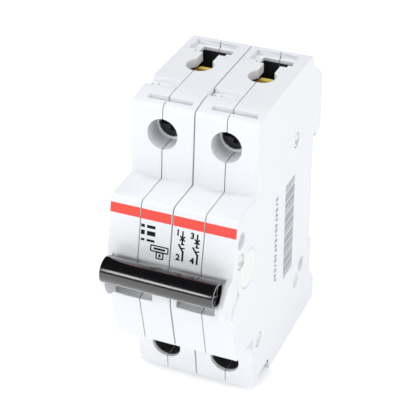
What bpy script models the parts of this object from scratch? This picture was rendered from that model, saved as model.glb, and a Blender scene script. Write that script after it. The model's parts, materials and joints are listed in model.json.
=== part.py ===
"""A two-pole miniature circuit breaker for a 35 mm mounting rail, piece by piece.

The working directions are those of a breaker on its rail: X across the poles, Y from the front (minus)
to the rail (plus), Z up. An empty stands at the middle of the rail seat, and every piece is placed from it.
The frame's own origin is below it, at the middle of the breaker's base.
"""

import math

import bmesh
import bpy
from mathutils import Matrix, Vector

# Driving dimensions, in millimetres from the middle of the rail seat.
MM = 0.001
FRONT, BACK = -70.2, 6.0
TOP, BOTTOM = 43.7, -42.6
POLE_CENTRES = {"left": -8.825, "right": 8.825}
POLE_HALF = 8.675
PARTING_HALF = 0.1
CAVITY_HALF = 7.3
SCREW_HEIGHTS = {"upper": 34.8, "lower": -33.0}
SCREW_HOLE_RADIUS = 4.2
PORT_X, PORT_Y, PORT_RADIUS = 0.3, -20.3, 3.8
CHAMBER_Y = (-34.4, -13.2)
CHAMBER_HALF = 6.0
RAIL_TOP, RAIL_BOTTOM = 17.5, -17.6

# Pivots in the side view, as (Y, Z).
TOGGLE_PIVOT = (-50.3, 4.0)
ARM_PIVOT = (-38.5, -12.0)
TRIP_PIVOT = (-42.0, 17.5)
LINK_TOP = (-47.7, 8.5)
LINK_FOOT = (-37.0, -1.0)
COIL_HEIGHT = 12.0
DRUM_RADIUS = 5.6
RECESS_RADIUS = 7.6
HANDLE_HALF = 15.6
RIVETS = [(-14.8, 23.4), (-55.8, 9.4), (-41.4, -25.5), (-11.4, -25.4)]
BLIND_HOLES = [(-55.3, 15.4), (-6.8, -22.4)]
RIVET_RADIUS, RIVET_HEAD_RADIUS = 1.5, 2.1
COVER_RADIUS = 5.3
EAR_WIDTH, EAR_INSET = 1.4, 0.25
SIDE = 17.5

# The rail seat's middle, measured from the middle of the base.
SEAT = Vector((0, -(FRONT + BACK) / 2, -BOTTOM)) * MM

# Colour, roughness and metallic value of each finish.
FINISHES = {
    "case_plastic": ((0.80, 0.81, 0.83, 1), 0.45, 0.0),
    "black_plastic": ((0.012, 0.012, 0.014, 1), 0.18, 0.0),
    "cover_plastic": ((0.78, 0.80, 0.76, 1), 0.5, 0.0),
    "dark_plastic": ((0.05, 0.05, 0.055, 1), 0.5, 0.0),
    "zinc_steel": ((0.62, 0.62, 0.60, 1), 0.35, 1.0),
    "spring_steel": ((0.35, 0.35, 0.36, 1), 0.3, 1.0),
    "brass": ((0.80, 0.58, 0.24, 1), 0.3, 1.0),
    "copper": ((0.78, 0.38, 0.22, 1), 0.3, 1.0),
}


def new_collection(name):
    collection = bpy.data.collections.new(name)
    bpy.context.scene.collection.children.link(collection)
    return collection


for old in list(bpy.data.objects):
    bpy.data.objects.remove(old)
PARTS = new_collection("circuit_breaker")
CUTTERS = new_collection("cutters")
RAIL_SEAT = bpy.data.objects.new("rail_seat_middle", None)
RAIL_SEAT.location = SEAT
PARTS.objects.link(RAIL_SEAT)


def material(name):
    """The finish's own material, made the first time it is asked for."""
    if name in bpy.data.materials:
        return bpy.data.materials[name]
    colour, roughness, metallic = FINISHES[name]
    made = bpy.data.materials.new(name)
    made.use_nodes = True
    shader = made.node_tree.nodes["Principled BSDF"]
    shader.inputs["Base Color"].default_value = colour
    shader.inputs["Roughness"].default_value = roughness
    shader.inputs["Metallic"].default_value = metallic
    made.diffuse_color = colour
    return made


# --- Shapes -------------------------------------------------------------------------------------

def new_object(name, mesh):
    """A mesh object placed from the rail seat. It waits with the cutters until it is kept."""
    made = bpy.data.objects.new(name, mesh)
    CUTTERS.objects.link(made)
    made.parent = RAIL_SEAT
    made.hide_render = True
    made.display_type = "WIRE"
    return made


def mesh_from(name, shape):
    mesh = bpy.data.meshes.new(name)
    shape.to_mesh(mesh)
    shape.free()
    return new_object(name, mesh)


def box(name, x, y, z):
    """A block between two corners, given as a (low, high) pair along each axis."""
    middle = Vector([(low + high) / 2 for low, high in (x, y, z)]) * MM
    size = [(high - low) * MM for low, high in (x, y, z)]
    shape = bmesh.new()
    place = Matrix.Translation(middle) @ Matrix.Diagonal((*size, 1))
    bmesh.ops.create_cube(shape, size=1, matrix=place)
    return mesh_from(name, shape)


def cylinder(name, axis, centre, span, radius, sides=20):
    """A round bar along one axis. centre is its place on the other two axes, in X, Y, Z order."""
    turn = {"X": Matrix.Rotation(math.pi / 2, 4, "Y"), "Y": Matrix.Rotation(math.pi / 2, 4, "X")}
    place = list(centre)
    place.insert("XYZ".index(axis), (span[0] + span[1]) / 2)
    matrix = Matrix.Translation(Vector(place) * MM) @ turn.get(axis, Matrix.Identity(4))
    shape = bmesh.new()
    bmesh.ops.create_cone(
        shape, cap_ends=True, segments=sides, radius1=radius * MM, radius2=radius * MM,
        depth=(span[1] - span[0]) * MM, matrix=matrix,
    )
    made = mesh_from(name, shape)
    smooth(made)
    return made


def smooth(made):
    made.data.shade_smooth()
    made.data.set_sharp_from_angle(angle=math.radians(35))


def meshed(curve_object):
    """The curve object as a closed mesh: its caps are welded to its sides."""
    bpy.context.view_layer.update()
    evaluated = curve_object.evaluated_get(bpy.context.evaluated_depsgraph_get())
    mesh = bpy.data.meshes.new_from_object(evaluated)
    shape = bmesh.new()
    shape.from_mesh(mesh)
    bmesh.ops.remove_doubles(shape, verts=shape.verts, dist=0.0005 * MM)
    shape.transform(curve_object.matrix_local)
    shape.to_mesh(mesh)
    shape.free()
    name = curve_object.name
    bpy.data.objects.remove(curve_object)
    return new_object(name, mesh)


def new_curve(name, dimensions, lines, closed):
    """A curve object with one straight-sided spline for each list of points, in millimetres."""
    curve = bpy.data.curves.new(name, "CURVE")
    curve.dimensions = dimensions
    for line in lines:
        spline = curve.splines.new("POLY")
        spline.points.add(len(line) - 1)
        for point, place in zip(spline.points, line):
            padded = list(place) + [0] * (3 - len(place))
            point.co = (*(Vector(padded) * MM), 1)
        spline.use_cyclic_u = closed
    made = bpy.data.objects.new(name, curve)
    CUTTERS.objects.link(made)
    return made


def prism(name, axis, outline, span, holes=()):
    """A flat outline, with any holes, given its thickness between two places along an axis.

    The outline's points are (Y, Z) along X, (X, Z) along Y and (X, Y) along Z.
    """
    quarter = math.pi / 2
    made = new_curve(name, "2D", [outline, *holes], True)
    made.data.fill_mode = "BOTH"
    made.data.extrude = (span[1] - span[0]) / 2 * MM
    made.rotation_euler = {"X": (quarter, 0, quarter), "Y": (quarter, 0, 0), "Z": (0, 0, 0)}[axis]
    made.location["XYZ".index(axis)] = (span[0] + span[1]) / 2 * MM
    return meshed(made)


def wire(name, points, radius, resolution=2):
    """A round wire through points."""
    made = new_curve(name, "3D", [points], False)
    made.data.bevel_depth = radius * MM
    made.data.bevel_resolution = resolution
    made.data.use_fill_caps = True
    finished = meshed(made)
    smooth(finished)
    return finished


def helix(axis, centre, span, radius, turns, steps):
    """Points of a coil along an axis, in millimetres. centre is in X, Y, Z order."""
    points = []
    for i in range(turns * steps + 1):
        angle = math.tau * i / steps
        along = span[0] + (span[1] - span[0]) * i / (turns * steps)
        point = [centre[0] + radius * math.cos(angle), centre[1] + radius * math.sin(angle)]
        point.insert("XYZ".index(axis), along)
        points.append(tuple(point))
    return points


def arc(centre, radius, start, end, steps):
    """Points of an arc in the outline's plane, from one angle to another in degrees."""
    angles = [math.radians(start + (end - start) * i / steps) for i in range(steps + 1)]
    return [(centre[0] + radius * math.cos(a), centre[1] + radius * math.sin(a)) for a in angles]


def combine(made, others, operation):
    for other in others:
        step = made.modifiers.new(f"{operation.lower()}_{other.name}"[:60], "BOOLEAN")
        step.operation = operation
        step.solver = "EXACT"
        step.object = other
    return made


def cut(made, *cutters):
    return combine(made, cutters, "DIFFERENCE")


def join(made, *others):
    return combine(made, others, "UNION")


def keep(made, finish, pivot=(0, 0, 0)):
    """The piece is done: it gets its material, and its origin goes to its pivot."""
    CUTTERS.objects.unlink(made)
    PARTS.objects.link(made)
    made.hide_render = False
    made.display_type = "TEXTURED"
    made.data.materials.clear()
    made.data.materials.append(material(finish))
    place = Vector(pivot) * MM
    made.data.transform(Matrix.Translation(-place))
    made.location = place
    return made


# --- Case ---------------------------------------------------------------------------------------

def case_outline():
    """The side view of a pole as (Y, Z), from the top of the back round the front to the rail."""
    top_and_shoulder = [(-1.3, 39.3), (-4.0, TOP), (-38.4, TOP), (-42.8, 43.0)]
    shoulder_edge = arc((-42.9, 41.8), 1.1, 80, 185, 3)
    label_face = [(-45.7, 22.5), (-57.1, 22.5), (-57.9, 21.8), (-61.19, 7.0), (-61.1, 5.9), (-60.3, 5.2)]
    recess = arc(TOGGLE_PIVOT, RECESS_RADIUS, 171.5, 215, 4)
    nose_bottom = [(-60.5, -3.3), (-60.95, -3.9), (-61.0, -6.0), (-58.2, -20.7), (-57.4, -21.4)]
    lower_face = [(-45.9, -22.3), (-44.0, -41.3), (-41.3, -41.3), (-41.1, -38.7), (-32.7, -38.7)]
    foot = [(-32.3, BOTTOM), (5.3, BOTTOM), (BACK, -41.8), (BACK, -35.0), (2.3, -30.6), (2.0, -29.6)]
    rail_recess = [(2.0, -18.6), (1.0, RAIL_BOTTOM), (0, RAIL_BOTTOM), (0, RAIL_TOP), (1.4, RAIL_TOP)]
    hook = [(1.4, 16.3), (2.6, 15.9), (4.8, 16.6), (BACK, 18.4), (BACK, 33.7), (4.6, 35.2), (0.8, 38.1)]
    front = top_and_shoulder + shoulder_edge + label_face + recess
    return front + nose_bottom + lower_face + foot + rail_recess + hook


def ear_outline():
    """The guard beside the handle bar: a rounded nose that stands proud of the toggle recess."""
    return [(-57.0, 8.0), (-60.7, 7.6), *arc((-60.6, 0.6), 6.1, 115, 245, 8), (-57.0, -6.0)]


def terminal_cutters(pole, x, level):
    """The rooms for one terminal: its chamber, screw hole, wire port, busbar slot and plate slot."""
    height = SCREW_HEIGHTS[level]
    upper = level == "upper"
    way = 1 if upper else -1
    edge = TOP if upper else BOTTOM
    roof = edge - way * 3.2
    floor = height - way * 6.2
    outside = edge + way * 2

    def between(a, b):
        return (min(a, b), max(a, b))

    tag = f"{pole}_{level}"
    port = (x + PORT_X, PORT_Y)
    neck = (x + PORT_X - 2.3, x + PORT_X + 2.3)
    return [
        box(f"chamber_{tag}", (x - CHAMBER_HALF, x + CHAMBER_HALF), CHAMBER_Y, between(floor, roof)),
        cylinder(f"screw_hole_{tag}", "Y", (x, height), (-50, -33), SCREW_HOLE_RADIUS, 24),
        cylinder(f"wire_port_{tag}", "Z", port, between(roof - way, outside), PORT_RADIUS, 24),
        box(f"port_neck_{tag}", neck, (-17.6, -12.0), between(roof - way, outside)),
        box(f"busbar_slot_{tag}", (x - 4.4, x + 4.4), (-13.0, -6.5), between(height - way * 4, outside)),
        box(f"busbar_step_{tag}", (x - 6.6, x + 5.7), (-11.7, -5.5), between(edge - way * 1.6, outside)),
        box(f"plate_slot_{tag}", (x - 3.4, x + 3.4), (-25.9, -23.9), between(way * 19.5, floor + way)),
    ]


def mechanism_cutters(pole, x):
    """The rooms for the mechanism, and the openings for the toggle, the rail clip and the marker strip."""
    room = [(-47.0, 20.5), (-2.0, 20.5), (-2.0, -20.5), (-55.8, -20.4), (-56.4, -7.2),
            (-52.2, -7.0), (-51.6, -1.2), (-47.0, 0.0)]
    window = [(-62.5, -5.9), (-60.9, -5.7), (-57.8, -5.1), (-56.6, -1.0), (-62.5, -1.0)]
    rib = [(x - 1.3, -33.6), (x + 1.3, -33.6), (x + 1.3, -32.4), (x - 1.3, -32.4)]
    label_channel = [(x - 9.5, 46), (x - 9.5, 42.3), (x - 2.0, 42.3), (x - 0.5, 43.8), (x - 0.5, 46)]
    label_pips = [(x - 8.0, -32.7), (x - 6.2, -32.4)]
    bottom, top = BOTTOM - 2, RAIL_BOTTOM + 1
    groove = [(x - 4.2, bottom), (x + 4.2, bottom), (x + 4.2, top), (x - 4.2, top)]
    inside = (x - CAVITY_HALF, x + CAVITY_HALF)
    sockets = (x - 7.8, x + 7.8)
    return [
        prism(f"mechanism_room_{pole}", "X", room, inside),
        cylinder(f"drum_room_{pole}", "X", TOGGLE_PIVOT, inside, DRUM_RADIUS + 0.6, 32),
        prism(f"toggle_window_{pole}", "X", window, (x - 7.0, x + 3.6)),
        box(f"lever_slot_{pole}", (x - 6.9, x + 2.1), (-62.5, -52.2), (-4.5, 4.9)),
        cylinder(f"toggle_sockets_{pole}", "X", TOGGLE_PIVOT, sockets, 2.2, 16),
        cylinder(f"arm_sockets_{pole}", "X", ARM_PIVOT, sockets, 1.2, 12),
        prism(f"clip_groove_{pole}", "Y", groove, (-1.2, BACK + 2), [rib]),
        prism(f"label_channel_{pole}", "Y", label_channel, (-35.5, -31.0)),
        *[cylinder(f"label_pip_{pole}", "Z", pip, (41.5, 43), 0.4, 12) for pip in label_pips],
        box(f"marker_groove_{pole}", (x - 5.4, x + 7.0), (-41.6, -39.9), (42.0, TOP + 2)),
    ]


def shared_cutters():
    """The holes that cross the whole breaker: for the rivets, the trip pin and the side recesses."""
    made = [cylinder("trip_pin_room", "X", TRIP_PIVOT, (-2.5, 2.5), 1.6, 16)]
    made.append(cylinder("trip_pin_sockets", "X", TRIP_PIVOT, (-16.9, 16.9), 1.2, 12))
    for i, centre in enumerate(RIVETS):
        made.append(cylinder(f"rivet_hole_{i + 1}", "X", centre, (-20, 20), RIVET_RADIUS + 0.2, 16))
    for side in (-1, 1):
        def outer(depth, side=side):
            return tuple(sorted((side * (SIDE - depth), side * (SIDE + 1))))

        seat = RIVET_HEAD_RADIUS + 0.1
        for i, centre in enumerate(RIVETS):
            made.append(cylinder(f"rivet_seat_{side}_{i + 1}", "X", centre, outer(1.1), seat, 20))
        for i, centre in enumerate(BLIND_HOLES):
            made.append(cylinder(f"side_recess_{side}_{i + 1}", "X", centre, outer(1.2), 2.3, 20))
        cover_seat = cylinder(f"cover_seat_{side}", "X", TOGGLE_PIVOT, outer(0.7), COVER_RADIUS + 0.1, 32)
        made.append(cover_seat)
    return made


def make_cases(shared):
    for pole, x in POLE_CENTRES.items():
        rooms = mechanism_cutters(pole, x)
        rooms += terminal_cutters(pole, x, "upper") + terminal_cutters(pole, x, "lower")
        halves = {"left": (x - POLE_HALF, x - PARTING_HALF), "right": (x + PARTING_HALF, x + POLE_HALF)}
        for half, span in halves.items():
            shell = prism(f"{pole}_pole_{half}_shell", "X", case_outline(), span)
            if half == pole:
                side = -1 if half == "left" else 1
                ear_span = sorted((side * (SIDE - EAR_INSET), side * (SIDE - EAR_INSET - EAR_WIDTH)))
                join(shell, prism(f"ear_{pole}", "X", ear_outline(), ear_span))
            cut(shell, *rooms, *shared)
            keep(shell, "case_plastic")


# --- Terminals ----------------------------------------------------------------------------------

def make_terminal(pole, x, level):
    height = SCREW_HEIGHTS[level]
    way = 1 if level == "upper" else -1
    tag = f"{pole}_{level}"

    outer = [(x - 5.2, -28.8), (x + 5.2, -28.8), (x + 5.2, -14.6), (x - 5.2, -14.6)]
    inner = [(x - 3.8, -27.0), (x + 3.8, -27.0), (x + 3.8, -16.0), (x - 3.8, -16.0)]
    edge = TOP if level == "upper" else BOTTOM
    cage_span = tuple(sorted((height - way * 5, edge - way * 3.5)))
    cage = prism(f"{tag}_clamp_cage", "Z", outer, cage_span, [inner])
    cut(cage, cylinder(f"thread_{tag}", "Y", (x, height), (-30, -26), 2.6, 16))
    keep(cage, "brass")

    screw = cylinder(f"{tag}_clamp_screw", "Y", (x, height), (-38.0, -35.2), 3.5, 20)
    join(screw, cylinder(f"shank_{tag}", "Y", (x, height), (-36.0, -25.8), 2.4, 16))
    blade = box(f"screw_slot_{tag}", (x - 4, x + 4), (-39, -36.9), (height - 0.6, height + 0.6))
    cross = box(f"screw_cross_{tag}", (x - 0.6, x + 0.6), (-39, -36.9), (height - 2.2, height + 2.2))
    cut(screw, blade, cross)
    keep(screw, "zinc_steel", (x, -36.6, height))

    plate_span = tuple(sorted((way * 19.7, height + way * 4.8)))
    plate = box(f"{tag}_plate", (x - 3.0, x + 3.0), (-25.5, -24.3), plate_span)
    if level == "lower":
        join(plate, box(f"plate_foot_{tag}", (x - 3.0, x + 3.0), (-46.0, -24.6), (-20.1, -19.1)))
    keep(plate, "copper")


# --- Tripping and switching mechanism -----------------------------------------------------------

def make_magnet(pole, x):
    """The short-circuit trip: a coil round a plunger whose pin strikes the trip lever."""
    centre = (x, COIL_HEIGHT)
    windings = helix("Y", centre, (-34.6, -21.4), 4.6, 6, 10)
    keep(wire(f"{pole}_magnet_coil", windings, 0.9, 1), "copper")

    yoke_outline = [(-37.0, 6.0), (-35.9, 6.0), (-35.9, 18.3), (-20.0, 18.3), (-20.0, 6.0),
                    (-18.8, 6.0), (-18.8, 19.4), (-37.0, 19.4)]
    yoke = prism(f"{pole}_magnet_yoke", "X", yoke_outline, (x - 5.0, x + 5.0))
    cut(yoke, cylinder(f"yoke_hole_{pole}", "Y", centre, (-38, -35), 1.3, 12))
    keep(yoke, "zinc_steel")

    plunger = cylinder(f"{pole}_magnet_plunger", "Y", centre, (-29.6, -20.4), 2.5, 16)
    join(plunger, cylinder(f"striker_{pole}", "Y", centre, (-37.2, -29.0), 0.8, 12))
    keep(plunger, "zinc_steel", (x, -29.6, COIL_HEIGHT))
    spring = helix("Y", centre, (-35.4, -30.1), 1.8, 5, 8)
    keep(wire(f"{pole}_plunger_spring", spring, 0.25, 0), "spring_steel")


def make_contacts(pole, x):
    """The fixed contact, the moving arm on its pin, their spring, the braid and the arc chute."""
    fixed = box(f"{pole}_fixed_contact", (x - 1.8, x + 1.8), (-33.5, -32.5), (0.2, 4.6))
    join(fixed, box(f"arc_runner_{pole}", (x - 3.0, x + 3.0), (-33.0, -14.0), (3.4, 4.6)))
    keep(fixed, "copper")

    arm_outline = arc(ARM_PIVOT, 2.3, 180, 360, 6)
    arm_outline += [(-35.2, -1.0), (-34.9, 4.8), (-36.1, 4.8), (-39.1, -1.0)]
    arm = prism(f"{pole}_moving_contact_arm", "X", arm_outline, (x - 2.0, x + 2.0))
    join(arm, box(f"contact_pad_{pole}", (x - 1.5, x + 1.5), (-35.4, -33.8), (1.4, 4.4)))
    cut(arm, cylinder(f"arm_bore_{pole}", "X", ARM_PIVOT, (x - 3, x + 3), 1.12, 16))
    cut(arm, cylinder(f"link_hole_{pole}", "X", LINK_FOOT, (x - 3, x + 3), 1.0, 12))
    keep(arm, "copper", (x, *ARM_PIVOT))
    keep(cylinder(f"{pole}_arm_pivot_pin", "X", ARM_PIVOT, (x - 7.7, x + 7.7), 1.0, 16), "zinc_steel")
    spring = helix("X", ARM_PIVOT, (x + 2.7, x + 4.5), 2.0, 4, 8)
    keep(wire(f"{pole}_contact_spring", spring, 0.22, 0), "spring_steel")

    braid = [(x - 4.2, -45.6, -18.4), (x - 4.6, -43.5, -18.0), (x - 4.8, -41.0, -17.6),
             (x - 4.6, -38.8, -17.2), (x - 4.0, -37.0, -16.4), (x - 3.2, -36.2, -15.2)]
    keep(wire(f"{pole}_copper_braid", braid, 0.7), "copper")

    chute = box(f"{pole}_arc_chute", (x - 6.9, x - 6.1), (-29.0, -8.0), (-18.4, 1.6))
    join(chute, box(f"chute_card_{pole}", (x + 6.1, x + 6.9), (-29.0, -8.0), (-18.4, 1.6)))
    for i in range(9):
        level = (-17.8 + 2.2 * i, -16.9 + 2.2 * i)
        join(chute, box(f"chute_plate_{pole}_{i + 1}", (x - 6.5, x + 6.5), (-28.0, -9.0), level))
    keep(chute, "zinc_steel")


def make_thermal_trip(pole, x):
    """The overload trip: a bimetal strip that bends forward against the foot of the trip lever."""
    keep(box(f"{pole}_bimetal_strip", (x - 3.0, x + 3.0), (-45.0, -44.2), (-18.9, -7.4)), "brass")


def make_trip_lever(pole, x):
    side_arm = [*arc(TRIP_PIVOT, 2.1, 100, -30, 5), (-40.0, 15.2), (-40.0, 9.0), (-42.0, 6.0), (-44.4, -7.9),
                (-44.4, -9.6), (-46.6, -9.6), (-46.6, -7.6), (-44.0, 6.0), (-44.1, 17.0)]
    lever = prism(f"{pole}_trip_lever", "X", side_arm, (x + 4.7, x + 6.2))
    striker_face = [(-41.4, 9.0), (-40.0, 9.0), (-40.0, 14.6), (-41.4, 14.6)]
    join(lever, prism(f"lever_face_{pole}", "X", striker_face, (x - 2.0, x + 5.0)))
    join(lever, box(f"lever_foot_{pole}", (x - 3.0, x + 5.0), (-46.6, -45.5), (-9.6, -7.9)))
    cut(lever, cylinder(f"lever_bore_{pole}", "X", TRIP_PIVOT, (x - 3, x + 8), 1.12, 16))
    keep(lever, "dark_plastic", (x, *TRIP_PIVOT))


def make_toggle(pole, x):
    """The toggle: a drum on two stub axles, with the lever that carries the handle bar."""
    drum_span = (x - 6.5, x + 1.7)
    toggle = cylinder(f"{pole}_toggle", "X", TOGGLE_PIVOT, drum_span, DRUM_RADIUS, 28)
    lever = [(-50.3, 0.4), (-55.6, 0.6), (-64.0, 2.5), (-64.0, 4.6), (-56.0, 4.6), (-54.6, 5.6), (-50.3, 8.0)]
    join(toggle, prism(f"lever_{pole}", "X", lever, (x - 6.0, x + 1.2)))
    join(toggle, cylinder(f"stub_{pole}", "X", TOGGLE_PIVOT, (x - 7.7, x + 7.7), 2.0, 16))
    cut(toggle, cylinder(f"crank_hole_{pole}", "X", LINK_TOP, (x - 1.6, x + 4), 0.85, 12))
    keep(toggle, "black_plastic", (x, *TOGGLE_PIVOT))

    spring = helix("X", TOGGLE_PIVOT, (x + 4.9, x + 6.8), 2.7, 4, 8)
    keep(wire(f"{pole}_toggle_spring", spring, 0.25, 0), "spring_steel")

    bar_x, hook_x = x + 2.9, x - 0.6
    path = [(hook_x, *LINK_TOP), (bar_x - 0.6, *LINK_TOP), (bar_x, -47.3, 8.1),
            (bar_x, -37.4, -0.6), (bar_x - 0.6, *LINK_FOOT), (hook_x, *LINK_FOOT)]
    keep(wire(f"{pole}_toggle_link", path, 0.55), "spring_steel", (x, *LINK_TOP))


def handle_outline():
    """The bar's section as (Y, Z): rounded in front, hollowed behind to swing past the case."""
    front = arc((-66.6, 5.35), 3.6, 72, 207, 10)
    return front + [(-68.0, 2.3), (-65.4, 1.9), (-63.4, 3.4), (-63.3, 5.6), (-62.8, 6.9), (-63.6, 7.8)]


def make_handle_bar():
    bar = prism("handle_bar", "X", handle_outline(), (-HANDLE_HALF, HANDLE_HALF))
    for pole, x in POLE_CENTRES.items():
        cut(bar, box(f"bar_socket_{pole}", (x - 6.2, x + 1.4), (-64.3, -62.0), (1.0, 4.9)))
    keep(bar, "black_plastic", (0, *TOGGLE_PIVOT))


# --- Rail clip ----------------------------------------------------------------------------------

def make_rail_clip(pole, x):
    side = [(-0.9, -41.6), (2.6, -41.6), (1.9, -39.6), (1.9, -20.0), (3.3, -18.6), (3.3, -17.4),
            (1.4, -15.9), (1.4, -17.8), (-0.9, -17.8)]
    clip = prism(f"{pole}_rail_clip", "X", side, (x - 3.9, x + 3.9))
    cut(clip, box(f"spring_window_{pole}", (x - 1.9, x + 1.9), (-2, 4), (-38.6, -23.6)))
    keep(clip, "dark_plastic", (x, 0, -29.0))
    spring = helix("Z", (x, 0.5), (-32.0, -24.1), 0.95, 8, 8)
    keep(wire(f"{pole}_clip_spring", spring, 0.2, 0), "spring_steel")


# --- Rivets, covers and pin ---------------------------------------------------------------------

def make_fasteners():
    for i, centre in enumerate(RIVETS):
        rivet = cylinder(f"through_rivet_{i + 1}", "X", centre, (-17.3, 17.3), RIVET_RADIUS, 16)
        for side in (-1, 1):
            span = tuple(sorted((side * 16.6, side * 17.4)))
            join(rivet, cylinder(f"rivet_head_{side}_{i + 1}", "X", centre, span, RIVET_HEAD_RADIUS, 20))
        keep(rivet, "zinc_steel")
    for name, side in (("left", -1), ("right", 1)):
        span = tuple(sorted((side * 16.95, side * SIDE)))
        keep(cylinder(f"{name}_pivot_cover", "X", TOGGLE_PIVOT, span, COVER_RADIUS, 32), "cover_plastic")
    keep(cylinder("trip_pin", "X", TRIP_PIVOT, (-16.8, 16.8), 1.0, 16), "zinc_steel", (0, *TRIP_PIVOT))


make_cases(shared_cutters())
for pole_name, pole_x in POLE_CENTRES.items():
    make_terminal(pole_name, pole_x, "upper")
    make_terminal(pole_name, pole_x, "lower")
    make_magnet(pole_name, pole_x)
    make_contacts(pole_name, pole_x)
    make_thermal_trip(pole_name, pole_x)
    make_trip_lever(pole_name, pole_x)
    make_toggle(pole_name, pole_x)
    make_rail_clip(pole_name, pole_x)
make_handle_bar()
make_fasteners()
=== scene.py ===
# %% [markdown]
# # A two-pole miniature circuit breaker
#
# A circuit breaker is a small switch that opens by itself when too much current flows. This one fills two
# modules of a 35 mm mounting rail: two narrow plastic cases side by side, one black bar that joins both
# toggles, and a clamp terminal above and below in each pole.
#
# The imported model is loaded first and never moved. It already holds every part, inside and out, so the
# lesson is about giving each visible part the edges, marks and finishes that the real one has.

import json
import math

import bmesh
import bpy
from mathutils import Matrix, Vector
from mathutils.bvhtree import BVHTree


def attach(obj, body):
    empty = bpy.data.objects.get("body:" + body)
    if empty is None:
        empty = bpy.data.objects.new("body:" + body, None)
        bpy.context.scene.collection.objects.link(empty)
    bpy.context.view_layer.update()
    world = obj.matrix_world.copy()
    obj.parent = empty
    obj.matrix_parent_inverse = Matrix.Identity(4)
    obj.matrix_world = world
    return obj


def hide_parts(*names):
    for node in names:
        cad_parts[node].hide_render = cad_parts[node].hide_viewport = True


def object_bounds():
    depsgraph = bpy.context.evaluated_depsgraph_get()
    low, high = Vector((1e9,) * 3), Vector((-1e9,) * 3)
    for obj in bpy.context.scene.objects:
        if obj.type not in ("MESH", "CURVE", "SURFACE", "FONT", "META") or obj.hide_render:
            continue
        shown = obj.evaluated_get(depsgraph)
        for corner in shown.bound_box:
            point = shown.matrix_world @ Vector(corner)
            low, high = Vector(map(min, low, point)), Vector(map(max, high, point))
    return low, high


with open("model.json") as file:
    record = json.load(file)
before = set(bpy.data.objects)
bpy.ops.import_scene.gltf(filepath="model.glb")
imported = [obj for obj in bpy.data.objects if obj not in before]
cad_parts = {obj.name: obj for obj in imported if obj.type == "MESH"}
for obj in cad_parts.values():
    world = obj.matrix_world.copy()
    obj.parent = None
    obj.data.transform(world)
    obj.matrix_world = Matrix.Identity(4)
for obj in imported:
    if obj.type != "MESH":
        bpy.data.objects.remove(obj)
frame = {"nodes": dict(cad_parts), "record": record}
cad_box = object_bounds()
scene = bpy.context.scene

# %% [markdown]
# ## Measuring from the rail
#
# Breakers of this kind are drawn from the middle of the rail seat: X across the poles, Y from the front
# (minus) to the rail, Z up. Working in those millimetres keeps every number here a number that could be
# taken off a real breaker with a calliper, so one small function turns them into metres in the frame.

# %% A point measured from the middle of the rail seat
MM = 0.001
REAR, FOOT, SIDE = 6.0, -42.6, 17.5
SEAT = Vector((0, cad_box[1].y - REAR * MM, cad_box[0].z - FOOT * MM))
POLES = {"left": -8.825, "right": 8.825}
TOGGLE_PIVOT = (-50.3, 4.0)


def at(x, y, z):
    """A point in millimetres from the middle of the rail seat, as a place in the frame."""
    return SEAT + Vector((x, y, z)) * MM


size = (cad_box[1] - cad_box[0]) / MM
print("the breaker is %.1f x %.1f x %.1f mm" % tuple(size))

# %% [markdown]
# ## The camera
#
# The breaker is seen from its upper right, turned about 23 degrees, from about 32 degrees above. The
# camera's three directions follow from those two angles: right, up, and back towards the viewer. From
# nearly 40 cm away the sides of the case are almost parallel, with a little perspective left, and a long
# lens lets the breaker fill the frame.

# %% Camera
TURN, ABOVE = math.radians(22.64), math.radians(32.42)
AIM = at(0, -24, 0)
ASIDE, RAISED, DISTANCE = -3.86, 1.76, 378.6
FOCAL_LENGTH, SENSOR_WIDTH = 116.3, 36.0
right = Vector((math.cos(TURN), math.sin(TURN), 0))
back = Vector((math.sin(TURN) * math.cos(ABOVE), -math.cos(TURN) * math.cos(ABOVE), math.sin(ABOVE)))
up = back.cross(right)
eye = AIM + (right * ASIDE + up * RAISED + back * DISTANCE) * MM

lens = bpy.data.cameras.new("view")
lens.lens, lens.sensor_width = FOCAL_LENGTH, SENSOR_WIDTH
lens.clip_start, lens.clip_end = 0.01, 20
camera = bpy.data.objects.new("view", lens)
camera.matrix_world = Matrix.Translation(eye) @ Matrix((right, up, back)).transposed().to_4x4()
scene.collection.objects.link(camera)
scene.camera = camera
print("the camera stands %.0f mm from the breaker" % ((eye - AIM).length / MM))

# %% [markdown]
# ## A white studio
#
# White plastic on a white floor is a high-key subject. Nearly all the light has to be soft and come from
# everywhere, or the floor turns grey. The black bar needs the opposite: one clear softbox low in front, so
# that it shows a single long highlight. The fill lights therefore don't appear in reflections, and the
# softbox does.

# %% Floor
FLOOR_REACH, FLOOR_GAP = 4.0, 0.05
floor_shape = bmesh.new()
bmesh.ops.create_grid(floor_shape, x_segments=1, y_segments=1, size=FLOOR_REACH)
floor_mesh = bpy.data.meshes.new("studio_floor")
floor_shape.to_mesh(floor_mesh)
floor_shape.free()
floor_mesh.transform(Matrix.Translation((0, 0, cad_box[0].z - FLOOR_GAP * MM)))
floor = bpy.data.objects.new("studio_floor", floor_mesh)
scene.collection.objects.link(floor)

paper = bpy.data.materials.new("studio_paper")
paper.use_nodes = True
paper_shader = paper.node_tree.nodes["Principled BSDF"]
paper_shader.inputs["Base Color"].default_value = (0.93, 0.93, 0.93, 1)
paper_shader.inputs["Roughness"].default_value = 0.8
paper_shader.inputs["Specular IOR Level"].default_value = 0.2
paper_shader.inputs["Emission Color"].default_value = (1, 1, 1, 1)
paper_shader.inputs["Emission Strength"].default_value = 0.22
floor_mesh.materials.append(paper)
print("the floor lies %.2f mm under the breaker" % FLOOR_GAP)

# %% [markdown]
# The world behind the paper is a faint even light without reflections of its own. Every lamp is a flat
# softbox that looks at the middle of the breaker, given by its direction, distance, size and power.

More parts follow.
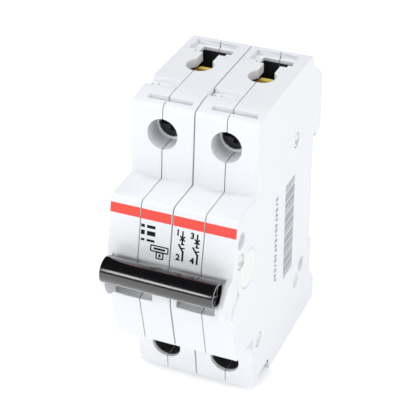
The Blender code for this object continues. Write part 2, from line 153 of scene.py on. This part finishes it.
# %% World and lights
LIGHT_AIM = at(0, -30, 0)
world = bpy.data.worlds.new("studio")
world.use_nodes = True
world.node_tree.nodes["Background"].inputs["Color"].default_value = (0.97, 0.985, 1.0, 1)
world.node_tree.nodes["Background"].inputs["Strength"].default_value = 0.22
world.cycles_visibility.glossy = False
scene.world = world
scene.view_settings.view_transform = "Standard"


def softbox(name, direction, distance, width, height, power, reflected=False):
    """A flat soft light that looks at the breaker from a direction; sizes are in metres."""
    lamp = bpy.data.lights.new(name, "AREA")
    lamp.shape, lamp.size, lamp.size_y = "RECTANGLE", width, height
    lamp.energy = power
    placed = bpy.data.objects.new(name, lamp)
    towards = Vector(direction).normalized()
    turn = towards.to_track_quat("Z", "Y").to_matrix().to_4x4()
    placed.matrix_world = Matrix.Translation(LIGHT_AIM + towards * distance) @ turn
    placed.visible_glossy = reflected
    scene.collection.objects.link(placed)


softbox("front_softbox", (-0.33, -0.87, 0.34), 0.9, 0.80, 0.21, 3.15, reflected=True)
softbox("top_fill", (-0.1, 0.0, 1.0), 1.1, 1.6, 1.6, 11.8)
softbox("right_fill", (1.0, -0.12, 0.45), 1.0, 0.9, 0.9, 4.8)
softbox("left_fill", (-1.0, -0.2, 0.5), 1.1, 0.9, 0.9, 1.6)

# %% [markdown]
# ## Finishes
#
# Moulded plastic is never one flat colour. It has a fine spark-eroded grain from the mould, faint flow
# clouds, and places where hands have polished it. Each finish here is two noise patterns on Object
# coordinates: a coarse one that shifts the colour and the roughness a little, and a fine one that is only
# a bump. Numbers that hold all over the surface are set on the shader itself.

# %% A finish made of a coarse and a fine pattern
MIX_FIRST, MIX_SECOND, MIX_RESULT = 6, 7, 2
CLOUD_RANGE = (0.3, 0.7)


def linked(tree, kind, **settings):
    """A new node with its sockets set or linked by name."""
    node = tree.nodes.new(kind)
    for name, value in settings.items():
        if isinstance(value, bpy.types.NodeSocket):
            tree.links.new(value, node.inputs[name.replace("_", " ")])
        else:
            node.inputs[name.replace("_", " ")].default_value = value
    return node


def finish(name, light, dark, roughness, cloud=90.0, grain=2600.0, relief=0.012, metallic=0.0, gloss=0.5,
           streak=(1, 1, 1)):
    """A procedural finish: light and dark are its two colours, roughness its (low, high) pair."""
    made = bpy.data.materials.new(name)
    made.use_nodes = True
    tree = made.node_tree
    shader = tree.nodes["Principled BSDF"]
    place = tree.nodes.new("ShaderNodeTexCoord").outputs["Object"]
    stretched = linked(tree, "ShaderNodeMapping", Vector=place, Scale=streak).outputs["Vector"]
    clouds = linked(tree, "ShaderNodeTexNoise", Vector=stretched, Scale=cloud, Detail=5.0, Roughness=0.6)
    fine = linked(tree, "ShaderNodeTexNoise", Vector=stretched, Scale=grain, Detail=2.0, Roughness=0.5)

    tint = tree.nodes.new("ShaderNodeMix")
    tint.data_type = "RGBA"
    tree.links.new(clouds.outputs["Fac"], tint.inputs["Factor"])
    tint.inputs[MIX_FIRST].default_value = (*dark, 1)
    tint.inputs[MIX_SECOND].default_value = (*light, 1)
    tree.links.new(tint.outputs[MIX_RESULT], shader.inputs["Base Color"])

    sheen = linked(tree, "ShaderNodeMapRange", Value=clouds.outputs["Fac"])
    for socket, value in zip(("From Min", "From Max", "To Min", "To Max"), (*CLOUD_RANGE, *roughness)):
        sheen.inputs[socket].default_value = value
    tree.links.new(sheen.outputs["Result"], shader.inputs["Roughness"])

    bump = linked(tree, "ShaderNodeBump", Height=fine.outputs["Fac"], Strength=0.5, Distance=relief * MM)
    tree.links.new(bump.outputs["Normal"], shader.inputs["Normal"])
    shader.inputs["Metallic"].default_value = metallic
    shader.inputs["Specular IOR Level"].default_value = gloss
    made.diffuse_color = (*light, 1)
    return made


# %% [markdown]
# Each finish below gives the light colour, the dark colour and the roughness pair. The black of the bar
# also has a clear coat, the shine of a polished mould. The walls deep in the terminal rooms, and the upper
# screws that stand in them, get darker colours that are painted shade.

# %% The finishes
CASE = finish("light_grey_case", (0.800, 0.815, 0.845), (0.765, 0.780, 0.812), (0.40, 0.50))
COVER = finish("warm_grey_cover", (0.830, 0.850, 0.830), (0.800, 0.820, 0.800), (0.42, 0.52))
BLACK = finish("polished_black", (0.007, 0.007, 0.008), (0.004, 0.004, 0.005), (0.14, 0.21), cloud=700.0,
               relief=0.006, gloss=1.0)
black_shader = BLACK.node_tree.nodes["Principled BSDF"]
black_shader.inputs["Coat Weight"].default_value = 0.6
black_shader.inputs["Coat Roughness"].default_value = 0.12
# painted shade: the same plastic as the case, coloured near-black where light hardly reaches
SHADE = finish("painted_shade_inner_wall", (0.034, 0.034, 0.036), (0.022, 0.022, 0.024), (0.6, 0.75))
SCREW = finish("burnished_screw_steel", (0.34, 0.34, 0.34), (0.20, 0.20, 0.205), (0.32, 0.46), metallic=0.6,
               cloud=500.0)
# painted shade: the upper clamp screws are the same steel as the lower ones, coloured darker for the shade
# in their holes
SCREW_PAINTED_SHADE = finish("screw_steel_painted_shade", (0.045, 0.045, 0.047), (0.028, 0.028, 0.030), (0.35, 0.5),
                    metallic=0.4, cloud=500.0)
DARK = finish("moulded_dark_grey", (0.060, 0.060, 0.064), (0.040, 0.040, 0.044), (0.45, 0.6))
ZINC = finish("zinc_plated_steel", (0.66, 0.66, 0.64), (0.50, 0.50, 0.49), (0.28, 0.42), metallic=1.0,
              grain=4000.0)
SPRING = finish("drawn_spring_steel", (0.42, 0.42, 0.43), (0.30, 0.30, 0.31), (0.22, 0.35), metallic=1.0)
BRASS = finish("yellow_brass", (1.0, 0.80, 0.20), (0.92, 0.66, 0.13), (0.38, 0.5), metallic=0.2,
               cloud=400.0, streak=(1, 1, 0.15))
COPPER = finish("bright_copper", (0.82, 0.42, 0.26), (0.66, 0.30, 0.17), (0.25, 0.4), metallic=1.0)
RIVET = finish("bright_rivet", (0.84, 0.84, 0.83), (0.70, 0.70, 0.69), (0.30, 0.42), metallic=0.85,
               cloud=900.0)
RED = finish("red_print", (0.86, 0.070, 0.045), (0.80, 0.058, 0.038), (0.38, 0.48), relief=0.004)
INK = finish("black_print", (0.008, 0.008, 0.009), (0.005, 0.005, 0.006), (0.6, 0.7), relief=0.003,
             gloss=0.2)
CODE_INK = finish("faded_code_print", (0.10, 0.105, 0.16), (0.05, 0.055, 0.10), (0.45, 0.55),
                  relief=0.003)
print("finishes:", len(bpy.data.materials))

# %% [markdown]
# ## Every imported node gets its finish
#
# The mechanism is out of sight, but a part is looked at from all sides and is sometimes taken apart. Each
# node's material slot in the record names what it is made of, so one table gives them all the right finish.
# The ones that show are replaced by finer pieces in the cells that follow.

# %% Finishes by material slot
BY_SLOT = {
    "case_plastic": CASE, "cover_plastic": COVER, "black_plastic": BLACK, "dark_plastic": DARK,
    "zinc_steel": ZINC, "spring_steel": SPRING, "brass": BRASS, "copper": COPPER,
}
slot_of = {part["node"]: part["material_slot"] for part in frame["record"]["subparts"]}
for node, cad in frame["nodes"].items():
    cad.data.materials.clear()
    cad.data.materials.append(BY_SLOT[slot_of[node]])
body_of = {node: body for body, nodes in frame["record"]["behaviour"]["bodies"].items() for node in nodes}
print("nodes with a finish:", len(slot_of))

# %% [markdown]
# ## Handing in a piece
#
# Every piece ends the same way: its shape becomes a mesh, flat areas stay flat while rounded edges shade
# smoothly, it is hung on the empty of the body that carries it, and the nodes it stands for are
# hidden.

# %% Turn a bmesh into a finished piece
SMOOTH_UP_TO = math.radians(38)


def piece_from(shape, name, material, body, slot, *stands_for):
    """A bmesh as a piece with a finish and a body, in place of the nodes it stands for; slot is not used.
    """
    mesh = bpy.data.meshes.new(name)
    shape.normal_update()
    shape.to_mesh(mesh)
    shape.free()
    piece = bpy.data.objects.new(name, mesh)
    scene.collection.objects.link(piece)
    mesh.materials.append(material)
    mesh.shade_smooth()
    mesh.set_sharp_from_angle(angle=SMOOTH_UP_TO)
    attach(piece, body)
    if stands_for:
        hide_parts(*stands_for)
    return piece


# %% [markdown]
# ## Rounded edges on the moulded cases
#
# A knife-sharp edge is what makes a model look unreal, because a moulded edge always has a small radius
# that catches the light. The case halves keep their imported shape, so a copy of each is welded, its flat
# areas are made whole, and every outward edge that faces open air is bevelled. Edges inside the closed
# rooms stay as they are: a ray sent out from the middle of an edge tells the two apart.

# %% Copy a node and round its outer edges
WELD, SLIVER, FLAT_WITHIN = 0.002, 0.1, math.radians(1)
OPEN_START, OPEN_REACH = 0.05, 30.0


def rounded_copy(node, radius, steps=2, shortest=0.3, sharpest=40):
    """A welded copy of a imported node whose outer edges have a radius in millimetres."""
    shape = bmesh.new()
    shape.from_mesh(frame["nodes"][node].data)
    bmesh.ops.remove_doubles(shape, verts=shape.verts, dist=WELD * MM)
    own = BVHTree.FromBMesh(shape)
    bmesh.ops.dissolve_degenerate(shape, edges=shape.edges, dist=SLIVER * MM)
    bmesh.ops.dissolve_limit(shape, angle_limit=FLAT_WITHIN, verts=shape.verts, edges=shape.edges)
    shape.normal_update()
    outer = []
    for edge in shape.edges:
        if not edge.is_manifold or not edge.is_convex or edge.calc_length() < shortest * MM:
            continue
        if edge.calc_face_angle() < math.radians(sharpest):
            continue
        middle = (edge.verts[0].co + edge.verts[1].co) / 2
        outwards = (edge.link_faces[0].normal + edge.link_faces[1].normal).normalized()
        if own.ray_cast(middle + outwards * OPEN_START * MM, outwards, OPEN_REACH * MM)[0] is None:
            outer.append(edge)
    bmesh.ops.bevel(
        shape, geom=outer, offset=radius * MM, offset_type="OFFSET", segments=steps, profile=0.5,
        affect="EDGES", clamp_overlap=False, material=-1,
    )
    return shape, len(outer)


def keep_flats_flat(piece):
    """Large faces set the shading, so that a bevel doesn't bend the light on the flat beside it."""
    weighted = piece.modifiers.new("flats_first", "WEIGHTED_NORMAL")
    weighted.keep_sharp = True


# %% [markdown]
# Deep inside the terminal rooms the plastic is the same, but hardly any light gets there. A studio as soft
# as this one still lights them a little, so the walls are cut across a little below the outer face, and
# what lies deeper gets a near-black painted shade. The openings then read as deep holes.

# %% Painted shade for the walls deep inside the terminal rooms
DECK, PORT_WALL, RIM = 43.7, 2.6, 1.2
UPPER_SCREW, LOWER_SCREW, STEP = 34.8, -33.0, -34.7
LOWER_FACE_POINT, LOWER_FACE_NORMAL = (-45.9, -22.3), Vector((0, 0.995, 0.0995))
ROOM_HALF_WIDTH, ROOM_FRONT, ROOM_REAR = 6.8, -34.5, -4.5
UPPER_ROOM_FLOOR, LOWER_ROOM_CEILING = 26, -25
SCREW_WALL_RADIUS, SCREW_WALL_FRONT, SCREW_WALL_REAR = 4.5, -46, -30
CUT_TOLERANCE = 0.0005


def deeper_than_rim(place):
    """True for a place more than a rim's width behind the sloping lower front face."""
    return (place - Vector((0, *LOWER_FACE_POINT))).dot(LOWER_FACE_NORMAL) > RIM


def in_terminal_room(place, middle):
    """True for a place, in millimetres from the rail seat, on a wall deep inside a terminal room."""
    if abs(place.x - middle) > ROOM_HALF_WIDTH:
        return False
    in_upper_room = UPPER_ROOM_FLOOR < place.z < DECK - PORT_WALL
    in_lower_room = FOOT + PORT_WALL < place.z < LOWER_ROOM_CEILING
    if ROOM_FRONT < place.y < ROOM_REAR and (in_upper_room or in_lower_room):
        return True
    from_upper, from_lower = (
        math.hypot(place.x - middle, place.z - height) for height in (UPPER_SCREW, LOWER_SCREW)
    )
    if from_upper < SCREW_WALL_RADIUS and STEP < place.y < SCREW_WALL_REAR:
        return True
    beside_lower_screw = from_lower < SCREW_WALL_RADIUS and SCREW_WALL_FRONT < place.y < SCREW_WALL_REAR
    return beside_lower_screw and deeper_than_rim(place)


def shade_rooms(shape, middle):
    """Cut the walls at the depth where the light fades and give the deeper faces the painted shade."""
    for place, normal in (
        (at(0, 0, DECK - PORT_WALL), Vector((0, 0, 1))),
        (at(0, 0, FOOT + PORT_WALL), Vector((0, 0, 1))),
        (at(0, STEP, 0), Vector((0, 1, 0))),
        (at(0, *LOWER_FACE_POINT) + LOWER_FACE_NORMAL * RIM * MM, LOWER_FACE_NORMAL),
    ):
        everything = list(shape.verts) + list(shape.edges) + list(shape.faces)
        bmesh.ops.bisect_plane(shape, geom=everything, dist=CUT_TOLERANCE * MM, plane_co=place,
                               plane_no=normal)
    shaded = 0
    for face in shape.faces:
        if in_terminal_room((face.calc_center_median() - SEAT) / MM, middle):
            face.material_index = 1
            shaded += 1
    return shaded


CASE_EDGE = 0.17
for pole, middle in POLES.items():
    for half in ("left", "right"):
        node = f"{pole}_pole_{half}_shell"
        shape, count = rounded_copy(node, CASE_EDGE)
        shaded = shade_rooms(shape, middle)
        shell = piece_from(shape, f"{pole}_{half}_case_half", CASE, "case", "case_plastic", node)
        # the second slot holds the painted shade of the deep walls
        shell.data.materials.append(SHADE)
        keep_flats_flat(shell)
        print(node, "has", count, "rounded edges and", shaded, "shaded faces")

# %% [markdown]
# ## The coupled handle bar
#
# Both toggles are joined by one black bar, so that the poles can only switch together. It is an extruded
# profile: round in front for the thumb, hollowed behind so that it can swing past the case. A closed line
# of vertices is extruded along X, and the ends are sunk to show that the profile is a hollow moulding.

# %% Handle bar
BAR_HALF = 15.6
BAR_CENTRE, BAR_RADIUS = (-66.6, 5.35), 3.6
END_EDGE, END_WALL, END_DEPTH, END_TAPER = 0.25, 0.55, 1.3, 0.02
END_LEAST_AREA = 4


def arc(centre, radius, start, end, steps):
    """Points of an arc in the (Y, Z) plane, from one angle to another in degrees."""
    angles = [math.radians(start + (end - start) * i / steps) for i in range(steps + 1)]
    return [(centre[0] + radius * math.cos(a), centre[1] + radius * math.sin(a)) for a in angles]


def face_of(shape, points):
    """One flat face through points that are already in place."""
    return shape.faces.new([shape.verts.new(p) for p in points])


bar_line = arc(BAR_CENTRE, BAR_RADIUS, 72, 207, 34)
bar_line += [(-68.98, 2.85), (-68.0, 2.3), (-66.7, 1.95), (-65.4, 1.9), (-63.4, 3.4), (-63.3, 5.4),
             (-62.8, 6.9), (-63.2, 7.6), (-63.9, 8.1)]
shape = bmesh.new()
end = face_of(shape, [at(-BAR_HALF, y, z) for y, z in bar_line])
grown = bmesh.ops.extrude_face_region(shape, geom=[end])
moved = [v for v in grown["geom"] if isinstance(v, bmesh.types.BMVert)]
bmesh.ops.translate(shape, verts=moved, vec=(2 * BAR_HALF * MM, 0, 0))
bmesh.ops.recalc_face_normals(shape, faces=shape.faces)
ends = [f for f in shape.faces if abs(f.normal.x) > 0.9]
rims = [e for f in ends for e in f.edges]
bmesh.ops.bevel(shape, geom=rims, offset=END_EDGE * MM, offset_type="OFFSET", segments=2, profile=0.5,
                affect="EDGES", clamp_overlap=True, material=-1)
shape.normal_update()
ends = [f for f in shape.faces if abs(f.normal.x) > 0.99 and f.calc_area() > END_LEAST_AREA * MM * MM]
bmesh.ops.inset_region(shape, faces=ends, thickness=END_WALL * MM, use_even_offset=True)
bmesh.ops.inset_region(shape, faces=ends, thickness=END_TAPER * MM, depth=-END_DEPTH * MM,
                       use_even_offset=True)
bar = piece_from(shape, "coupled_handle_bar", BLACK, "handle", "black_plastic", "handle_bar")
print("handle bar faces:", len(bar.data.polygons))

# %% [markdown]
# Inside each sunk end stand the bar's two stiffening ribs and the round boss that the mould's ejector pin
# pushes on. They are small solids that stop just short of the bar's end.

# %% Ribs in the ends of the bar
RIB_EDGE, RIB_SINK = 0.08, 0.05
BOSS_SIDES = 20


def rib(shape, x, y, z, turn):
    """A rounded block between (low, high) places along each axis, turned about X by degrees."""
    middle = at(*[(low + high) / 2 for low, high in (x, y, z)])
    scale = [(high - low) * MM for low, high in (x, y, z)]
    place = Matrix.Translation(middle) @ Matrix.Rotation(math.radians(turn), 4, "X")
    made = bmesh.ops.create_cube(shape, size=1, matrix=place @ Matrix.Diagonal((*scale, 1)))
    edges = list(dict.fromkeys(e for v in made["verts"] for e in v.link_edges))
    bmesh.ops.bevel(shape, geom=edges, offset=RIB_EDGE * MM, offset_type="OFFSET", segments=2,
                    profile=0.5, affect="EDGES", clamp_overlap=True, material=-1)


def boss(shape, x, centre, radius):
    """A round bar along X between (low, high), about a centre in (Y, Z)."""
    low, high = x
    lie_along_x = Matrix.Rotation(math.pi / 2, 4, "Y")
    place = Matrix.Translation(at((low + high) / 2, *centre)) @ lie_along_x
    bmesh.ops.create_cone(shape, cap_ends=True, segments=BOSS_SIDES, radius1=radius * MM,
                          radius2=radius * MM, depth=(high - low) * MM, matrix=place)


ribs = bmesh.new()
for side in (-1, 1):
    span = sorted((side * (BAR_HALF - END_DEPTH - RIB_SINK), side * (BAR_HALF - END_EDGE)))
    rib(ribs, span, (-69.3, -64.1), (5.0, 5.5), turn=-28)
    rib(ribs, span, (-66.6, -66.1), (2.7, 8.2), turn=-18)
    boss(ribs, span, (-67.3, 4.0), 0.8)
piece_from(ribs, "handle_bar_ribs", BLACK, "handle", "black_plastic")
print("ribs made at both ends")

# %% [markdown]
# ## Pivot covers and rivets
#
# A round cover closes the toggle's bearing on each side, flush with the case. Four rivets run right through
# and hold the halves together. Both are turned shapes, so each starts as a profile line that is spun round
# the X axis; the doubles on the axis are merged afterwards to close the poles.

# %% Spin a profile round the X axis
SAME_PLACE = 0.001


def turned(profile, centre, steps):
    """A round solid about a line along X through centre (Y, Z). profile is a list of (X, radius)."""
    shape = bmesh.new()
    middle = at(0, *centre)
    line = [shape.verts.new(middle + Vector((x, 0, r)) * MM) for x, r in profile]
    edges = [shape.edges.new(pair) for pair in zip(line, line[1:])]
    bmesh.ops.spin(shape, geom=line + edges, cent=middle, axis=(1, 0, 0), dvec=(0, 0, 0),
                   angle=math.tau, steps=steps, use_merge=True, use_duplicate=False)
    bmesh.ops.remove_doubles(shape, verts=shape.verts, dist=SAME_PLACE * MM)
    bmesh.ops.recalc_face_normals(shape, faces=shape.faces)
    return shape


COVER_PROFILE = [(16.95, 0), (16.95, 5.2), (17.1, 5.3), (17.38, 5.3), (17.46, 5.24), (17.5, 5.12),
                 (17.5, 4.2), (17.47, 4.1), (17.47, 0)]
for name, side in (("left", -1), ("right", 1)):
    cover = turned([(side * x, r) for x, r in COVER_PROFILE], TOGGLE_PIVOT, 56)
    piece_from(cover, f"{name}_bearing_cover", COVER, "case", "cover_plastic", f"{name}_pivot_cover")

RIVETS = [(-14.8, 23.4), (-55.8, 9.4), (-41.4, -25.5), (-11.4, -25.4)]
RIVET_HEAD = [(17.05, 0), (17.05, 0.75), (17.2, 0.95), (17.36, 1.25), (17.4, 1.6), (17.34, 1.92),
              (17.2, 2.08), (16.9, 2.1), (16.6, 2.1), (16.6, 1.5)]
rivet_line = RIVET_HEAD + [(-x, r) for x, r in reversed(RIVET_HEAD)]
for i, centre in enumerate(RIVETS, 1):
    rivet = turned(rivet_line, centre, 32)
    piece_from(rivet, f"rivet_{i}", RIVET, "case", "zinc_steel", f"through_rivet_{i}")
print("covers: 2, rivets:", len(RIVETS))

# %% [markdown]
# ## Terminals, toggles and rail clips
#
# The clamp screws, the brass clamp cages, the toggles and the rail clips keep their imported shape too, and
# only need the small radii of a pressed, turned or moulded edge.

# %% Small rounded parts
# The upper clamp screws take the steel with painted shade, the lower ones the plain steel.
SMALL_PARTS = {"upper_clamp_screw": (SCREW_PAINTED_SHADE, 0.12), "lower_clamp_screw": (SCREW, 0.12),
               "upper_clamp_cage": (BRASS, 0.15), "lower_clamp_cage": (BRASS, 0.15),
               "toggle": (BLACK, 0.12), "rail_clip": (DARK, 0.15)}
for pole in POLES:
    for part, (material, radius) in SMALL_PARTS.items():
        node = f"{pole}_{part}"
        shape, _ = rounded_copy(node, radius)
        piece = piece_from(shape, f"{node}_rounded", material, body_of[node], slot_of[node], node)
        keep_flats_flat(piece)
print("small parts:", len(POLES) * len(SMALL_PARTS))

# %% [markdown]
# A thin lip of the case runs round each upper screw hole just in front of the screw's head. It catches the
# light, so it shows as a pale arc against the dark room behind it. Its section is spun round the hole's
# axis.

# %% Lips in the upper screw holes
LIP_STEPS = 40
LIP = [(-38.75, 4.19), (-38.75, 3.72), (-38.6, 3.56), (-38.4, 3.56), (-38.25, 3.7), (-38.25, 4.19)]
for pole, middle in POLES.items():
    shape = bmesh.new()
    ring = [shape.verts.new(at(middle + radius, y, UPPER_SCREW)) for y, radius in LIP]
    edges = [shape.edges.new(pair) for pair in zip(ring, ring[1:] + ring[:1])]
    bmesh.ops.spin(shape, geom=ring + edges, cent=at(middle, 0, UPPER_SCREW), axis=(0, 1, 0),
                   dvec=(0, 0, 0), angle=math.tau, steps=LIP_STEPS, use_merge=True, use_duplicate=False)
    bmesh.ops.remove_doubles(shape, verts=shape.verts, dist=SAME_PLACE * MM)
    bmesh.ops.recalc_face_normals(shape, faces=shape.faces)
    piece_from(shape, f"{pole}_screw_hole_lip", COVER, "case", "case_plastic")
print("lips:", len(POLES))

# %% [markdown]
# ## The red stripe
#
# A stripe of red print crosses both poles above the switch symbols. Real print is a few hundredths of a
# millimetre of ink on the sloping label face, and it stops at each parting line. Every half gets its own
# thin slab, laid on the slope.

# %% Lay thin print on the label face
LABEL_TOP, LABEL_BOTTOM = (-57.9, 21.8), (-60.7, 9.2)
INK_THICKNESS, INK_GAP = 0.03, 0.004
ALONG_X = Vector((1, 0, 0))


def on_label(x, z):
    """The point on the sloping label face at a width and a height."""
    share = (LABEL_TOP[1] - z) / (LABEL_TOP[1] - LABEL_BOTTOM[1])
    return at(x, LABEL_TOP[0] + (LABEL_BOTTOM[0] - LABEL_TOP[0]) * share, z)


slope = on_label(0, LABEL_TOP[1]) - on_label(0, LABEL_BOTTOM[1])
label_normal = slope.cross(ALONG_X).normalized()
if label_normal.y > 0:
    label_normal.negate()


def print_patch(shape, corners, normal, rise=INK_GAP):
    """A flat patch of ink: its outline is laid just above the face and given the ink's thickness."""
    lifted = [p + normal * rise * MM for p in corners]
    sheet = face_of(shape, lifted)
    sheet.normal_update()
    if sheet.normal.dot(normal) < 0:
        sheet.normal_flip()
    grown = bmesh.ops.extrude_face_region(shape, geom=[sheet])
    raised = [v for v in grown["geom"] if isinstance(v, bmesh.types.BMVert)]
    bmesh.ops.translate(shape, verts=raised, vec=normal * INK_THICKNESS * MM)


STRIPE = (17.95, 20.6)
stripe = bmesh.new()
HALVES = [(-17.35, -9.0), (-8.65, -0.3), (0.3, 8.65), (9.0, 17.35)]
for low, high in HALVES:
    around = ((low, STRIPE[0]), (high, STRIPE[0]), (high, STRIPE[1]), (low, STRIPE[1]))
    corners = [on_label(x, z) for x, z in around]
    print_patch(stripe, corners, label_normal)
piece_from(stripe, "red_stripe", RED, "case", "case_plastic")
print("stripe patches:", len(HALVES))

# %% [markdown]
# ## Switch symbols
#
# The right pole carries the standard drawing of a switch that trips: a line from terminal 1 to terminal 2
# with a cross on it and an open blade, and the same for 3 and 4. Each stroke is a thin patch between two
# points, and the numbers are the plain numerals of a text object turned into a mesh.

# %% Strokes and numerals
SWITCHES = [(3.1, 2.15), (7.1, 6.0)]
NUMERALS = [("1", 1.76, 16.3), ("3", 5.73, 16.25), ("2", 2.15, 9.8), ("4", 6.1, 9.7)]
NUMERAL_HEIGHT, NUMERAL_BOLDNESS, CAPITAL_SHARE = 1.6, 0.09, 0.7
label_up = label_normal.cross(ALONG_X).normalized()
if label_up.z < 0:
    label_up.negate()


def stroke(shape, start, stop, width):
    """A straight line of ink between two (X, Z) points on the label face."""
    a, b = on_label(*start), on_label(*stop)
    across = (b - a).cross(label_normal).normalized() * width / 2 * MM
    print_patch(shape, [a - across, b - across, b + across, a + across], label_normal)


def numeral(text, x, z):
    """A numeral as a flat mesh on the label face, returned as corner lists."""
    curve = bpy.data.curves.new("numeral", "FONT")
    curve.body, curve.size = text, NUMERAL_HEIGHT / CAPITAL_SHARE * MM
    curve.align_x, curve.align_y = "CENTER", "CENTER"
    curve.resolution_u = 3
    curve.offset = NUMERAL_BOLDNESS * MM
    written = bpy.data.objects.new("numeral", curve)
    scene.collection.objects.link(written)
    bpy.context.view_layer.update()
    drawn = written.evaluated_get(bpy.context.evaluated_depsgraph_get())
    mesh = bpy.data.meshes.new_from_object(drawn)
    bpy.data.objects.remove(written)
    stand = Matrix((ALONG_X, label_up, label_normal)).transposed().to_4x4()
    mesh.transform(Matrix.Translation(on_label(x, z)) @ stand)
    outlines = [[mesh.vertices[i].co.copy() for i in polygon.vertices] for polygon in mesh.polygons]
    bpy.data.meshes.remove(mesh)
    return outlines


symbols = bmesh.new()
for x, knife in SWITCHES:
    stroke(symbols, (x, 17.0), (x, 13.5), 0.42)
    for lean in (-0.7, 0.7):
        stroke(symbols, (x - lean, 15.6), (x + lean, 14.4), 0.4)
    stroke(symbols, (x - 0.35, 13.5), (x + 0.6, 13.5), 0.4)
    stroke(symbols, (knife, 13.4), (x + 0.3, 11.5), 0.46)
    stroke(symbols, (x - 0.5, 12.25), (x + 0.8, 12.55), 0.38)
    stroke(symbols, (x + 0.35, 11.8), (x + 0.35, 9.0), 0.5)
for text, x, z in NUMERALS:
    for outline in numeral(text, x, z):
        print_patch(symbols, outline, label_normal)
bmesh.ops.remove_doubles(symbols, verts=symbols.verts, dist=CUT_TOLERANCE * MM)
piece_from(symbols, "switch_symbols", INK, "case", "case_plastic")
print("switches:", len(SWITCHES), "numerals:", len(NUMERALS))

# %% [markdown]
# ## The rating field
#
# A real breaker is printed with its type and rating. A shared part should carry no maker's text, so the
# field keeps only its layout: plain bars where the lines of text stand, and the small double frame.

# %% Rating bars and frames
RATING_LINES = [(-8.5, -4.5, 16.15, 0.8), (-8.4, -4.4, 14.4, 1.2), (-8.3, -4.5, 12.5, 0.6)]
FIRST_WORD_END, SECOND_WORD_START = 0.26, 0.42
FRAME_STROKE = 0.34
rating = bmesh.new()
for low, high, height, width in RATING_LINES:
    length = high - low
    for start, stop in ((low, low + length * FIRST_WORD_END), (low + length * SECOND_WORD_START, high)):
        stroke(rating, (start, height), (stop, height), width)


def frame_line(shape, x0, x1, z0, z1):
    """The four strokes of a rectangle on the label face."""
    corners = [(x0, z0), (x1, z0), (x1, z1), (x0, z1)]
    for a, b in zip(corners, corners[1:] + corners[:1]):
        stroke(shape, a, b, FRAME_STROKE)


frame_line(rating, -5.4, -0.6, 10.0, 11.5)
frame_line(rating, -3.75, -1.9, 8.25, 9.9)
stroke(rating, (-4.6, 10.75), (-1.4, 10.75), 0.55)
stroke(rating, (-3.1, 9.1), (-2.55, 9.1), 0.8)
piece_from(rating, "rating_field", INK, "case", "case_plastic")
print("rating lines:", len(RATING_LINES))

# %% [markdown]
# ## The side's bar pattern
#
# The right side carries a faint column of bars for a stock code. Bars that encode nothing keep the look:
# their widths repeat a short made-up rhythm. They are thin patches on the flat side, like the other print.

# %% Bars on the right side
SIDE_GAP = 0.002
BARS_ACROSS, BARS_START, BARS_END = (-22.6, -15.4), -17.6, 13.2
RHYTHM = [0.22, 0.42, 0.22, 0.3, 0.6, 0.22, 0.3, 0.42, 0.22, 0.5]
INKED, BLANK, LEAST_BLANK = 0.8, 0.9, 0.12
TICK_ROWS, TICK_START, TICK_PITCH = 17, -14.0, 1.65
TICK_LEFT, TICK_RIGHT = -30.2, -28.6


def side_patch(shape, y, z):
    """A patch of ink on the right side, between (low, high) places along Y and Z."""
    around = ((y[0], z[0]), (y[1], z[0]), (y[1], z[1]), (y[0], z[1]))
    print_patch(shape, [at(SIDE, *corner) for corner in around], ALONG_X, rise=SIDE_GAP)


code = bmesh.new()
height, count = BARS_START, 0
while height < BARS_END:
    inked = RHYTHM[count % len(RHYTHM)] * INKED
    side_patch(code, BARS_ACROSS, (height, height + inked))
    height += inked + RHYTHM[(3 * count + 4) % len(RHYTHM)] * BLANK + LEAST_BLANK
    count += 1
for i in range(TICK_ROWS):
    low = TICK_START + TICK_PITCH * i
    side_patch(code, (TICK_LEFT + 0.9 * (i % 3 == 0), TICK_RIGHT), (low, low + 0.35))
    side_patch(code, (TICK_LEFT, TICK_RIGHT - 0.7 * (i % 2)), (low + 0.62, low + 0.9))
piece_from(code, "side_bar_pattern", CODE_INK, "case", "case_plastic")
print("bars:", count, "rows of ticks:", TICK_ROWS)
